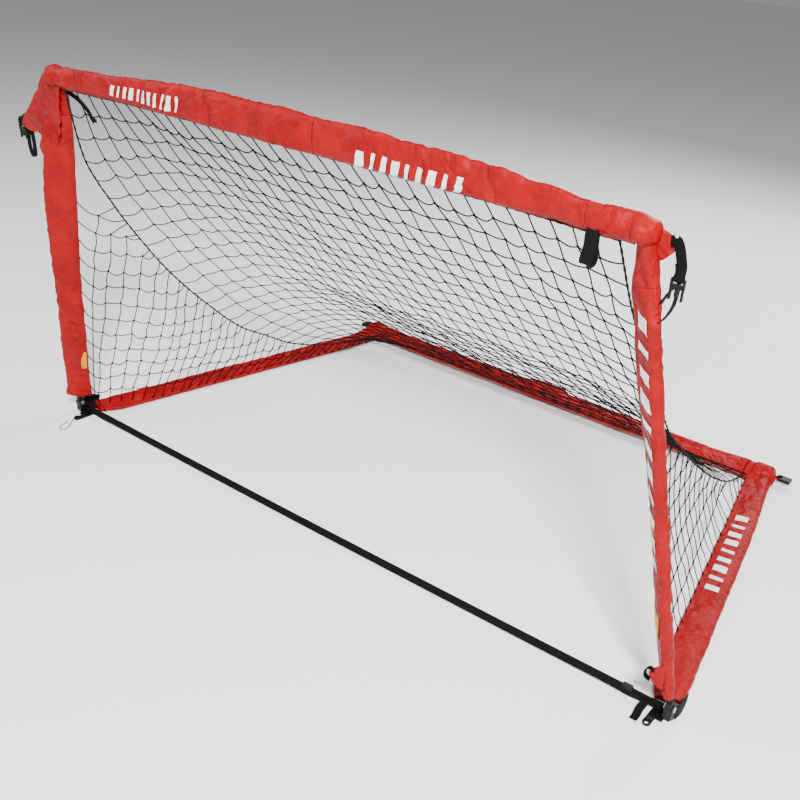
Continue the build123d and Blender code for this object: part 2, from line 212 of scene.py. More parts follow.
WEB = fabric("webbing", BLACK, WORN_BLACK, 0.7, 330, 0.8, Specular_IOR_Level=0.10)
PLASTIC = moulded(
    "black_moulding", (0.001, 0.001, 0.001), (0.004, 0.004, 0.004), 0.48, 900.0, 0.25,
    Specular_IOR_Level=0.22,
)
POLE = moulded("coated_pole", (0.010, 0.010, 0.011), (0.022, 0.022, 0.024), 0.38, 1400.0, 0.15)
PIN = moulded("zinc_pin", (0.42, 0.42, 0.43), (0.58, 0.58, 0.58), 0.34, 700.0, 0.12, Metallic=1.0)
FINISH = {
    "black_plastic": PLASTIC, "pole": POLE, "pin": PIN, "red_cloth": RED, "net": NET, "rope": ROPE,
    "webbing": WEB,
}

for part in frame["record"]["subparts"]:
    shown = frame["nodes"][part["node"]]
    shown.data.materials.clear()
    shown.data.materials.append(FINISH[part["material_slot"]])


# ---- mesh helpers -------------------------------------------------------------------------------
def made_object(name, points, faces, surface, uv):
    mesh = bpy.data.meshes.new(name)
    mesh.from_pydata([tuple(p) for p in points], [], faces)
    layer = mesh.uv_layers.new(name="map")
    for loop in mesh.loops:
        layer.data[loop.index].uv = uv[loop.vertex_index]
    mesh.polygons.foreach_set("use_smooth", [True] * len(mesh.polygons))
    mesh.materials.append(surface)
    return linked(bpy.data.objects.new(name, mesh))


def heading(path, i):
    """Which way a path runs at one of its points."""
    return (path[min(i + 1, len(path) - 1)] - path[max(i - 1, 0)]).normalized()


class Bundle:
    """Many small tubes and strips gathered into one mesh."""

    def __init__(self):
        self.points, self.faces, self.uv = [], [], []

    def rings(self, rows, uv_rows=None):
        """Joins rows of points into a closed tube; every row has the same number of points."""
        start, count = len(self.points), len(rows[0])
        for r, row in enumerate(rows):
            self.points.extend(row)
            self.uv.extend(uv_rows[r] if uv_rows else [(r * 0.004, k * 0.001) for k in range(count)])
        for r in range(len(rows) - 1):
            for k in range(count):
                a, b = start + r * count + k, start + r * count + (k + 1) % count
                self.faces.append((a, b, b + count, a + count))
        last = start + (len(rows) - 1) * count
        self.faces.append(tuple(start + k for k in reversed(range(count))))
        self.faces.append(tuple(last + k for k in range(count)))

    def tube(self, path, radius, sides=5):
        """A round cord along a path; radius is a number or one for each point."""
        rows, uv_rows, side, length = [], [], None, 0.0
        for i, p in enumerate(path):
            ahead = heading(path, i)
            if side is None:
                side = ahead.orthogonal().normalized()
            side = (side - ahead * side.dot(ahead)).normalized()
            other = ahead.cross(side)
            r = radius[i] if hasattr(radius, "__len__") else radius
            angles = [2 * math.pi * k / sides for k in range(sides)]
            rows.append([p + (side * math.cos(a) + other * math.sin(a)) * r for a in angles])
            length += (path[i] - path[i - 1]).length if i else 0.0
            uv_rows.append([(length, r * a) for a in angles])
        self.rings(rows, uv_rows)

    def ribbon(self, path, widths, width, thickness):
        """Flat webbing with rounded edges along a path; widths gives the way across it at each point."""
        section = [(-1, -0.5), (-0.97, -0.9), (-0.5, -1), (0.5, -1), (0.97, -0.9), (1, -0.5)]
        section += [(-a, -b) for a, b in section]
        rows, uv_rows, length = [], [], 0.0
        for i, p in enumerate(path):
            ahead = heading(path, i)
            across = (widths[i] - ahead * widths[i].dot(ahead)).normalized()
            up = across.cross(ahead)
            rows.append([p + across * a * width / 2 + up * b * thickness / 2 for a, b in section])
            length += (path[i] - path[i - 1]).length if i else 0.0
            uv_rows.append([(length, a * width / 2) for a, b in section])
        self.rings(rows, uv_rows)

    def knot(self, at, along, radius):
        """A small tied knot: a lump a little longer than it is wide."""
        other = along.orthogonal().normalized()
        third = along.cross(other)
        rows = []
        for t, r in ((-1.3, 0.45), (-0.6, 1.0), (0.2, 1.05), (0.9, 0.8), (1.35, 0.4)):
            ring = [(math.cos(a), math.sin(a)) for a in (k * math.pi / 3 for k in range(6))]
            rows.append([at + along * t * radius + (other * c + third * s) * r * radius for c, s in ring])
        self.rings(rows)

    def object(self, name, surface):
        return made_object(name, self.points, self.faces, surface, self.uv)


def curve_through(points, step):
    """Evenly spaced points on a smooth curve through the given ones."""
    dense = []
    for i in range(len(points) - 1):
        a, b = points[i], points[i + 1]
        before = points[i - 1] if i else a * 2 - b
        after = points[i + 2] if i + 2 < len(points) else b * 2 - a
        for k in range(12):
            t = k / 12
            dense.append(
                b * (0.5 * t * (1 + t * (4 - 3 * t)))
                + a * (0.5 * (2 + t * t * (3 * t - 5)))
                + before * (0.5 * t * (t * (2 - t) - 1))
                + after * (0.5 * t * t * (t - 1))
            )
    dense.append(points[-1])
    lengths = [0.0]
    for a, b in zip(dense, dense[1:]):
        lengths.append(lengths[-1] + (b - a).length)
    count = max(2, round(lengths[-1] / step))
    found, k = [], 0
    for i in range(count + 1):
        target = lengths[-1] * i / count
        while k < len(dense) - 2 and lengths[k + 1] < target:
            k += 1
        share = (target - lengths[k]) / max(1e-9, lengths[k + 1] - lengths[k])
        found.append(dense[k].lerp(dense[k + 1], share))
    return found


def crumple(run, depth, seed, slant):
    """Wrinkle height from about -1 to 1: soft puckers, creases that slant across the cloth, and fine ones."""
    low = noise.noise(Vector((run * 11 + seed, depth * 13, seed)))
    bend = noise.noise(Vector((run * 8, depth * 10, seed + 7)))
    slanted = (run + slant * depth) * 30 + bend * 1.6
    crease = 1 - 2.2 * abs(noise.noise(Vector((slanted, depth * 9, seed + 3))))
    fine = noise.noise(Vector(((run - slant * depth) * 85, depth * 60, seed + 5)))
    return 0.45 * low + 0.5 * crease + 0.22 * fine


def quilt(name, grid, thickness, surface, rough, seed):
    """Thin cloth with two faces and rounded edges, over a grid of points."""
    rows, cols = len(grid), len(grid[0])
    points, uv, faces = [], [], []
    for side in (1, -1):
        for i in range(rows):
            for j in range(cols):
                du = grid[min(i + 1, rows - 1)][j] - grid[max(i - 1, 0)][j]
                dv = grid[i][min(j + 1, cols - 1)] - grid[i][max(j - 1, 0)]
                normal = du.cross(dv).normalized()
                p = grid[i][j]
                lift = crumple(p.x + p.y, p.z * 1.3, seed, 0.8) * rough
                rim = min(i, rows - 1 - i, j, cols - 1 - j)
                swell = thickness / 2 * (0.45 if rim == 0 else 0.9 if rim == 1 else 1.0)
                points.append(p + normal * (lift + side * swell))
                uv.append((i * du.length / 2, j * dv.length / 2))
    count = rows * cols
    for i in range(rows - 1):
        for j in range(cols - 1):
            a = i * cols + j
            faces.append((a, a + cols, a + cols + 1, a + 1))
            faces.append((a + count, a + 1 + count, a + cols + 1 + count, a + cols + count))
    border = [(i, 0) for i in range(rows)] + [(rows - 1, j) for j in range(1, cols)]
    border += [(i, cols - 1) for i in range(rows - 2, -1, -1)] + [(0, j) for j in range(cols - 2, 0, -1)]
    for (i, j), (k, m) in zip(border, border[1:] + border[:1]):
        a, b = i * cols + j, k * cols + m
        faces.append((a, a + count, b + count, b))
    return made_object(name, points, faces, surface, uv)


# ---- cloth sleeves round the poles --------------------------------------------------------------
# A ring of cloth round a pole at a point. hem points to its hem and face to its front; depth and out are
# how far it reaches to the hem and the other way, front and back its thickness there, and run its place
# along the hoop.
Ring = namedtuple("Ring", "at hem face depth out front back run")
FACE_STEPS, ARC_STEPS = 12, 24  # a ring's points across one face, and round the pole
STITCH, HEM = 2, 0.0026  # which point the seam is at, and half the folded hem's thickness
SLACK = 0.0098  # the cloth's distance from the middle of its pole
DOUBLED, PULLED, WAVY = 0.0006, 0.0007, 0.0022  # the folded hem's step, its stitches' depth, and its waves
TUCK, TUCKED = 0.006, 0.9  # how far an open end is turned in, and how much narrower it is there
THICKENS, DEEPENS, UNTURNS = 0.07, 0.10, 0.16  # how far from a corner its cloth begins to do each
DISC = 0.027  # a corner's cloth reaches over its hinge disc
RING_STEP = 0.004
GROUND = 0.0008


def outline(ring, seed, amount, slant):
    """The closed line of cloth at one ring: front face from hem to pole, round it, and back to the hem."""
    points, uv, length = [], [], 0.0
    for k in range(FACE_STEPS + 1):
        points.append((1 - k / FACE_STEPS, 1))
    turns = [math.pi * k / ARC_STEPS for k in range(1, ARC_STEPS)]
    points += [(-math.sin(a), math.cos(a)) for a in turns]
    for k in range(FACE_STEPS + 1):
        points.append((k / FACE_STEPS, -1))
    points.append((1 + HEM / ring.depth, 0))
    found = []
    sewn = 1 - STITCH / FACE_STEPS
    for x, side in points:
        reach = ring.front if side > 0 else ring.back
        h = min(x, 1 + HEM / ring.depth) * ring.depth if x >= 0 else x * ring.out
        lift = crumple(ring.run, h + (0.3 if side < 0 else 0), seed, slant) * amount + amount * 0.35
        if x < 0:
            n = side * (reach + lift)
            h += x * (crumple(ring.run, 0.7, seed, slant) * 0.6 + 0.25) * amount
        else:
            flat = HEM + (reach - HEM) * (1 - x**1.25)
            doubled = DOUBLED * smooth(x, sewn - 0.02, sewn + 0.02)
            stitched = PULLED * math.exp(-(((x - sewn) / 0.018) ** 2))
            taper = (0.5 + 0.5 * math.cos(math.pi / 2 * min(1.0, x))) * (1 - 0.5 * smooth(x, 0.8, 1))
            n = side * (flat + doubled - stitched + lift * taper) if side else 0.0
            h += noise.noise(Vector((ring.run * 24, seed, 2.0))) * WAVY * smooth(x, 0.5, 1)
        point = ring.at + ring.hem * h + ring.face * n
        point.z = max(point.z, GROUND)
        length += (point - found[-1]).length if found else 0.0
        found.append(point)
        uv.append((ring.run, length))
    return found, uv


def sleeve(name, rings, seed, creases, slant, open_start, open_end):
    """Cloth over a run of rings. creases gives the height of its wrinkles along the run."""
    rows, uv_rows = [], []
    for ring in rings:
        row, uv = outline(ring, seed, creases(ring), slant)
        rows.append(row)
        uv_rows.append(uv)
    along = (rings[1].at - rings[0].at).normalized()
    shown, shown_uv = list(rows), list(uv_rows)
    for wanted, end, ahead in ((open_start, 0, -1), (open_end, -1, 1)):
        if wanted:
            at = rings[end].at
            place = 0 if end == 0 else len(shown)
            shown.insert(place, [at + (p - at) * TUCKED - along * ahead * TUCK for p in rows[end]])
            shown_uv.insert(place, uv_rows[end])
    bundle = Bundle()
    bundle.rings(shown, shown_uv)
    return bundle.object(name, RED), rows


def hoop_rings(origin, rise, face, half, corner, bar, depth, lap, start, leg_shape, bar_shape, bar_tilt):
    """Rings of cloth up one leg, round the corner, along the folding bar and down the other leg.

    The hoop lies in the plane of ACROSS and rise. half is the legs' foot, corner the leg's far end,
    bar the distance of the bar, depth the cloth's depth at the corners, and lap how far the bar lies
    over the legs. leg_shape gives how far the cloth reaches out of the pole and in to its hem, and how
    far it is turned round the pole; bar_shape gives the first two, and the cloth's thickness there."""
    leg = (Vector((corner[0] - half, corner[1]))).normalized()
    inward = Vector((-leg.y, leg.x))
    line = (bar - depth - inward.y * depth) / leg.y
    center = Vector((half, 0)) + leg * line + inward * depth
    fan = math.acos(-inward.y)
    run, found = 0.0, []

    def add(side, u, s, w, hem, out, front, back, reach, turn):
        nonlocal run
        at = origin + ACROSS * u * side + rise * s + face * w
        flat = ACROSS * hem.x * side + rise * hem.y
        toward = flat * math.cos(turn) - face * math.sin(turn)
        normal = face * math.cos(turn) + flat * math.sin(turn)
        if found:
            run += (at - found[-1].at).length
        found.append(Ring(at, toward, normal, reach, out, front, back, run))

    def leg_rings(side, order):
        count = round((line - start) / RING_STEP)
        for k in order(range(count + 1)):
            d = start + (line - start) * k / count
            spot = Vector((half, 0)) + leg * d
            near = smooth(d, line - THICKENS, line)
            out, reach, turn = leg_shape(side, d / line)
            reach = depth + (reach - depth) * (1 - smooth(d, line - DEEPENS, line))
            turn *= 1 - smooth(d, line - UNTURNS, line - 0.01)
            thick = SLACK + 0.0062 * near
            add(side, spot.x, spot.y, 0.004 * near, inward, out, thick, thick, reach, turn)

    def fan_rings(side, order):
        count = 30
        first, last = leg_shape(side, 1.0)[0], bar_shape(side * center.x)[0]
        for k in order(range(1, count)):
            angle = fan * k / count
            by_leg, by_bar = (math.sin(a) / math.sin(fan) for a in (fan - angle, angle))
            ray = (-inward * by_leg + Vector((0, 1)) * by_bar).normalized()
            reach = min(depth / max(0.2, ray.dot(-inward)), depth / max(0.2, ray.y))
            spot = center + ray * reach
            w = 0.004 + (lap * 0.72 - 0.004) * smooth(k / count, 0, 1)
            swell = math.sin(math.pi * k / count) ** 0.6
            out = first + (last - first) * smooth(k / count, 0, 1)
            out += max(0.0, DISC - out) * swell
            front, back = 0.0160 + 0.0115 * swell, 0.0160 + 0.0062 * swell
            turn = bar_tilt * smooth(k / count, 0.3, 1)
            add(side, spot.x, spot.y, w, -ray, out, front, back, reach, turn)

    def bar_rings(side, order):
        span = center.x
        count = round(2 * span / RING_STEP)
        for k in order(range(count + 1)):
            u = -span + 2 * span * k / count
            near = smooth(abs(u), span - THICKENS, span)
            hub = hump(u, -0.11, -0.035, 0.035, 0.075)
            out, reach, puff = bar_shape(u)
            reach = depth + (reach - depth) * (1 - smooth(abs(u), span - DEEPENS, span))
            front = SLACK + 0.0065 * near + 0.0068 * hub + puff
            back = SLACK + 0.0065 * near + 0.0035 * hub + puff * 0.6
            add(side, u, bar, lap * (1 - 0.28 * near), Vector((0, -1)), out, front, back, reach, bar_tilt)

    marks = []
    for part_rings, side, order in (
        (leg_rings, -1, list), (fan_rings, -1, list), (bar_rings, 1, list), (fan_rings, 1, reversed),
        (leg_rings, 1, reversed),
    ):
        part_rings(side, order)
        marks.append(len(found))
    return found, marks


def sections(rings, marks, leg, first, last, hub):
    """Splits a hoop into leg, corner, half a bar, hub, half a bar, corner and leg; neighbours share a ring.

    leg, first and last are how far the corners' cloth reaches along a leg and the bar, and hub half the
    length of the hub's."""
    bar_start, bar_end = rings[marks[1]].run, rings[marks[2] - 1].run
    center = (bar_start + bar_end) / 2
    parts, low = [], 0
    for value in (
        rings[marks[0]].run - leg, bar_start + first, center - hub, center + hub, bar_end - last,
        rings[marks[3]].run + leg,
    ):
        k = min(range(len(rings)), key=lambda i: abs(rings[i].run - value))
        parts.append(rings[low : k + 1])
        low = k
    return parts + [rings[low:]]


FOOT_Y, FOOT_Z = pivot("post_fold").y, pivot("post_fold").z
FOOT_X = abs(pivot("post_fold").x)
FRONT = -Vector(joints["bar_fold"]["axis"])
UP = FRONT.cross(ACROSS)
ARCH_ORIGIN = Vector((0, FOOT_Y, FOOT_Z))
top_pivot = pivot("crossbar_hub") - ARCH_ORIGIN
TOP_S, LAP = top_pivot.dot(UP), top_pivot.dot(FRONT)
CORNER_X = abs(pivot("bar_fold").x)
BAR_S = (middle("crossbar_left_pole") - ARCH_ORIGIN).dot(UP)
BASE_Z = middle("left_base_pole").z
REAR = middle("rear_bar_left_pole")
BASE_LONG = REAR.y - FOOT_Y + 0.011  # from the feet to the middle of the rear corners


def arch(u, s, w=0.0):
    return ARCH_ORIGIN + ACROSS * u + UP * s + FRONT * w


def table(x, *spots):
    """A value that passes smoothly through the given (place, value) pairs."""
    if x <= spots[0][0]:
        return spots[0][1]
    for (a, low), (b, high) in zip(spots, spots[1:]):
        if x <= b:
            return low + (high - low) * smooth(x, a, b)
    return spots[-1][1]


CEILING = cad_box[1][2] * 1.03 + 0.003  # where the cloth over the crossbar stops
BAR_Z = arch(0, BAR_S, LAP).z
ARCH_DEPTH, BASE_DEPTH = 0.020, 0.056


def post_shape(side, t):
    """The left post's cloth hangs outward of its pole; the right one's lies inward of it."""
    if side < 0:
        return (
            table(t, (0.0, 0.040), (0.08, 0.034), (0.25, 0.042), (0.70, 0.058), (0.84, 0.050), (1.0, 0.030)),
            table(t, (0.0, 0.034), (0.15, 0.026), (0.5, 0.018), (1.0, 0.020)),
            0.80,
        )
    return (
        table(t, (0.0, 0.0100), (0.6, 0.0110), (1.0, 0.0125)),
        table(t, (0.0, 0.037), (0.15, 0.058), (0.7, 0.056), (1.0, 0.040)),
        table(t, (0.0, 0.80), (0.45, 0.78), (0.85, 0.45)),
    )


def crossbar_shape(u):
    """The crossbar's cloth is about 55 mm tall, and stands higher over its pole near the middle."""
    upper = table(
        u, (-0.80, 0.030), (-0.6, 0.040), (-0.4, 0.054), (-0.2, 0.068), (0.0, 0.074), (0.11, 0.074),
        (0.17, 0.062), (0.4, 0.054), (0.6, 0.044), (0.70, 0.034), (0.80, 0.029),
    )
    lower = table(u, (-0.75, 0.016), (-0.5, 0.0112), (0.45, 0.0112), (0.62, 0.013), (0.75, 0.018))
    return min(upper, CEILING - BAR_Z), lower, 0.003 * hump(u, -0.36, -0.06, 0.09, 0.18)


def base_shape(side, t):
    out = 0.011 if side < 0 else table(t, (0.0, 0.012), (0.12, 0.022), (0.7, 0.024), (1.0, 0.016))
    return out, table(t, (0.0, 0.030), (0.10, BASE_DEPTH)), 0.10


def rear_shape(u):
    near = smooth(abs(u), 0.62, 0.72)
    return 0.0098 + 0.012 * near + 0.0205 * hump(u, -0.11, -0.035, 0.035, 0.075), BASE_DEPTH, 0.0


arch_rings, arch_marks = hoop_rings(
    ARCH_ORIGIN, UP, FRONT, FOOT_X, (CORNER_X, TOP_S), BAR_S, ARCH_DEPTH, LAP, 0.030, post_shape,
    crossbar_shape, 0.10,
)
base_rings, base_marks = hoop_rings(
    Vector((0, FOOT_Y, BASE_Z)), Vector((0, 1, 0)), RISE, FOOT_X, (CORNER_X, BASE_LONG),
    REAR.y - FOOT_Y, BASE_DEPTH, REAR.z - BASE_Z, 0.045, base_shape, rear_shape, 0.22,
)


def arch_creases(ring):
    """Height of the arch's wrinkles: gathered in two places on the crossbar, smooth near its ends."""
    u, s = ring.at.x, (ring.at - ARCH_ORIGIN).dot(UP)
    if s > BAR_S - 0.03 and abs(u) < 0.72:
        gathered = hump(u, 0.10, 0.2, 0.5, 0.62) + 0.8 * hump(u, -0.50, -0.38, -0.02, 0.1)
        return 0.0044 + 0.0080 * gathered
    return 0.0056 + 0.0016 * hump(s, 0.15, 0.25, 0.45, 0.6) + 0.0034 * smooth(s, 0.74, 0.92)


def base_creases(ring):
    return 0.0040


arch_parts = sections(arch_rings, arch_marks, 0.075, 0.09, 0.09, 0.075)
base_parts = sections(base_rings, base_marks, 0.055, 0.07, 0.02, 0.06)
grids = {}
for leg, corner, bar, bar_node, parts, seed, creases, slant in (
    ("post", "top", "crossbar", "crossbar", arch_parts, 3.1, arch_creases, 0.9),
    ("base", "rear", "rear", "rear_bar", base_parts, 8.7, base_creases, 0.5),
):
    left, right, bar_left, bar_right = f"left_{leg}", f"right_{leg}", f"{bar}_left", f"{bar}_right"
    # the frame's ring is opened at the right rear corner, where the bar only stands on the base's boss
    opened = leg == "base"
    pieces = [
        (f"left_{leg}_cloth", left, [f"left_{leg}_sleeve"]),
        (f"left_{corner}_corner_cloth", (left, bar_left), []),
        (f"{bar}_cloth_left", bar_left, [f"{bar_node}_left_sleeve"]),
        (f"{bar}_hub_cloth", (bar_left, bar_right), []),
        (f"{bar}_cloth_right", bar_right, [f"{bar_node}_right_sleeve"]),
        (f"right_{corner}_corner_cloth", right if opened else (bar_right, right), []),
        (f"right_{leg}_cloth", right, [f"right_{leg}_sleeve"]),
    ]
    for k, ((name, body, sleeve_nodes), rings) in enumerate(zip(pieces, parts)):
        ends = k == 0 or (opened and k == 5), k == 6 or (opened and k == 4)
        obj, rows = sleeve(name, rings, seed, creases, slant, *ends)
        grids[name] = (rings, rows)
        thread = Bundle()
        for ring, row, after in zip(rings, rows, rows[1:]):
            for at in (STITCH, FACE_STEPS + ARC_STEPS + FACE_STEPS - STITCH):
                lift = ring.face * (0.0005 if at < FACE_STEPS else -0.0005)
                a, b = row[at] + lift, after[at] + lift
                path = [a.lerp(b, 0.12), a.lerp(b, 0.5) + lift * 0.4, a.lerp(b, 0.88)]
                thread.tube(path, [0.00022, 0.0004, 0.00022], 4)
        stitch = thread.object(name.replace("cloth", "stitching"), THREAD)
        for piece in (obj, stitch):
            if isinstance(body, tuple):
                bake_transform(piece)
            else:
                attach(piece, body)
        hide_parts(*sleeve_nodes)


# ---- back net -----------------------------------------------------------------------------------
NET_R = 0.0015
net_corner, net_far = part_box("back_net_upper")
FOLD = Vector((0, net_far[1], net_corner[2]))
NET_TOP, NET_LOW = pivot("net_upper_fold"), pivot("net_lower_fold")
ROWS, COLUMNS = 28, 33
EDGE = 3  # how many columns at each side stay with the base rails
FOLD_ROW = 12  # the row that the net folds along
NET_X = 0.752  # half its width at the crossbar
TAUT = [(NET_TOP.y, NET_TOP.z), (FOLD.y, FOLD.z), (NET_LOW.y, NET_LOW.z)]


def crossbar_hem(x):
    """Where the back net meets the crossbar's cloth."""
    return arch(x, BAR_S - crossbar_shape(x)[1], LAP)


LEFT_HEM, RIGHT_HEM = crossbar_hem(-NET_X), crossbar_hem(NET_X)
# each side's seam between the back net and the side net, as (y, z) from the crossbar to the rear bar
SEAMS = {
    -1: [(LEFT_HEM.y, LEFT_HEM.z), (-0.612, 0.865), (-0.590, 0.797), (-0.555, 0.739), (-0.505, 0.660),
         (-0.418, 0.543), (-0.355, 0.469), (-0.258, 0.372), (-0.112, 0.247), (0.013, 0.178), (0.109, 0.126),
         (0.250, 0.078), (0.400, 0.048), (NET_LOW.y, NET_LOW.z)],
    1: [(RIGHT_HEM.y, RIGHT_HEM.z), (-0.530, 0.838), (-0.420, 0.710), (-0.304, 0.576), (-0.215, 0.477),
        (-0.144, 0.419), (0.003, 0.308), (0.193, 0.183), (0.389, 0.082), (NET_LOW.y, NET_LOW.z)],
}


def line_of(points, step):
    return curve_through([Vector((0, y, z)) for y, z in points], step)


def taut_line():
    """The middle of the back net: nearly straight from each bar to the fold line."""
    found = []
    for start, end, count in ((TAUT[0], TAUT[1], FOLD_ROW), (TAUT[1], TAUT[2], ROWS - FOLD_ROW)):
        a, b = Vector((0, *start)), Vector((0, *end))
        down = Vector((0, -(b - a).z, (b - a).y)).normalized()
        down *= -1 if down.z > 0 else 1
        steps = range(count + (end == TAUT[2]))
        found += [a.lerp(b, k / count) + down * 0.006 * math.sin(math.pi * k / count) for k in steps]
    return found


def rows_of(points):
    """The seam's points, one for each row of the net."""
    dense = line_of(points, 0.002)
    return [dense[round(j * (len(dense) - 1) / ROWS)] for j in range(ROWS + 1)]


taut = taut_line()
seam_rows = {side: rows_of(points) for side, points in SEAMS.items()}
seam_lines = {side: line_of(points, 0.012) for side, points in SEAMS.items()}


def half_width(y):
    """Half the back net's width, which narrows a little to the rear bar."""
    return NET_X - 0.012 * smooth(y, 0.1, 0.55)


def net_knot(i, j):
    """A knot of the back net: the net is taut in the middle and is drawn down to the seams at its sides."""
    x = 2 * i / COLUMNS - 1
    side = 1 if x > 0 else -1
    raised = crossbar_hem(x * NET_X) - taut[0]
    p = taut[j] + Vector((0, raised.y, raised.z)) * max(0.0, 1 - j / FOLD_ROW)
    p = p.lerp(seam_rows[side][j], abs(x) ** 5.0)
    p = Vector((x * half_width(p.y), p.y, p.z))
    if 0 < i < COLUMNS and 0 < j < ROWS:
        p += Vector([chance.uniform(-loose, loose) for loose in (0.0035, 0.003, 0.004)])
    return p


knots_at = [[net_knot(i, j) for i in range(COLUMNS + 1)] for j in range(ROWS + 1)]


def hanging(a, b, slack, down):
    """A slack stretch of net cord from one knot up to the next."""
    return [a.lerp(b, t) + down * slack * math.sin(math.pi * t) for t in (0.0, 0.2, 0.4, 0.6, 0.8)]


def back_net(name, body, rows, columns, squash):
    """A part of the back net, with its cords down from bar to bar and slack ones across."""
    cords, knots = Bundle(), Bundle()
    first, last = rows
    left, right = columns
    lent = (EDGE, COLUMNS - EDGE) if squash == "post_fold" else ()  # cords that the net's middle has already
    for i in range(left, right + 1):
        path = []
        for j in range(first, last):
            a, b = knots_at[j][i], knots_at[j + 1][i]
            path += [a, a.lerp(b, 0.5) + Vector((chance.uniform(-0.0015, 0.0015), 0, 0))]
        path.append(knots_at[last][i])
        if 0 < i < COLUMNS and i not in lent:
            cords.tube(path, NET_R)
    for j in range(first + 1, min(last, ROWS - 1) + 1):
        down = (knots_at[min(j + 1, ROWS)][left + 1] - knots_at[j - 1][left + 1]).normalized()
        path = []
        for i in range(left, right):
            path += hanging(knots_at[j][i], knots_at[j][i + 1], chance.uniform(0.002, 0.012), down)
        path.append(knots_at[j][right])
        cords.tube(path, NET_R)
        for i in range(max(1, left), min(COLUMNS - 1, right) + 1):
            if i not in lent:
                knots.knot(knots_at[j][i], down, NET_R * 1.75)
    net, ties = cords.object(name, NET), knots.object(name + "_knots", NET)
    for piece in (net, ties):
        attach(piece, body)
        squashed(piece, squash)
    return net


def squashed(piece, joint):
    """Gives a piece of net or rope a mesh of its own; the joint, bar_fold or post_fold, makes no difference.
    """
    if joint == "bar_fold":
        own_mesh(piece)
    else:
        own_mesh(piece)


inner = (EDGE, COLUMNS - EDGE)
upper_net = back_net("back_net_upper_cords", "net_upper", (0, FOLD_ROW), inner, "bar_fold")
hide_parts("back_net_upper")
lower_net = back_net("back_net_lower_cords", "net_lower", (FOLD_ROW, ROWS), inner, "bar_fold")
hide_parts("back_net_lower")
back_net("back_net_left_edge", "left_base", (0, ROWS), (0, EDGE), "post_fold")
back_net("back_net_right_edge", "right_base", (0, ROWS), (COLUMNS - EDGE, COLUMNS), "post_fold")

# ---- ropes along the net's edges and the side nets ----------------------------------------------


def rope(name, path, body, squash, node=None):
    """Two strands twisted round each other."""
    made = Bundle()
    for phase in (0.0, math.pi):
        strand = []
        for k, p in enumerate(path):
            a = phase + k * 1.15
            strand.append(p + Vector((math.cos(a), math.sin(a) * 0.6, math.sin(a) * 0.8)) * 0.0011)
        made.tube(strand, 0.0017, 6)
    obj = made.object(name, ROPE)
    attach(obj, body)
    squashed(obj, squash)
    if node:
        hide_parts(node)


head, foot = (curve_through([knots_at[j][i] for i in range(COLUMNS + 1)], 0.008) for j in (0, ROWS))
rope("head_rope", head, "net_upper", "bar_fold", "seam_ropes_upper")
rope("foot_rope", foot, "net_lower", "bar_fold", "seam_ropes_lower")
for edge, name in ((0, "left"), (COLUMNS, "right")):
    seam = curve_through([row[edge] for row in knots_at], 0.008)
    rope(f"{name}_seam_rope", seam, f"{name}_base", "post_fold")


def seam_at(y, side):
    """Height of a side's seam over y."""
    return min(seam_lines[side], key=lambda p: abs(p.y - y)).z


post_leg = (Vector((CORNER_X, TOP_S)) - Vector((FOOT_X, 0))).normalized()
post_in = Vector((-post_leg.y, post_leg.x))
post_line = (BAR_S - ARCH_DEPTH - post_in.y * ARCH_DEPTH) / post_leg.y
base_leg = Vector((CORNER_X - FOOT_X, BASE_LONG)).normalized()


def post_hem(side, d):
    """Where the side net is sewn to a post, at d along it. It is given for the right side's x."""
    reach, turn = post_shape(side, d / post_line)[1:]
    turn *= 1 - smooth(d, post_line - UNTURNS, post_line - 0.01)
    spot = arch(FOOT_X + post_leg.x * d, post_leg.y * d)
    inward = ACROSS * post_in.x + UP * post_in.y
    return spot + inward * reach * math.cos(turn) - FRONT * reach * math.sin(turn)


def base_hem_x(y):
    """Half the distance between the base cloths' hems over y."""
    return FOOT_X + base_leg.x / base_leg.y * (y - FOOT_Y) - 0.054


def side_point(y, z, side, fit):
    """A point of a side net: its sheet goes from the base's hem to the post's and up to the seam."""
    top = max(0.03, seam_at(y, side))
    share = min(1.0, max(0.0, (z - 0.012) / top))
    x = base_hem_x(y) * (1 - share) + half_width(y) * share
    hem = post_hem(side, min(0.93, max(0.05, z / 0.97)))
    near = smooth(y, hem.y + 0.20, hem.y)
    x = x * (1 - near) + hem.x * near
    x -= 0.022 * math.sin(math.pi * share) * (1 - near)
    return Vector((side * x, y, z)) + fit


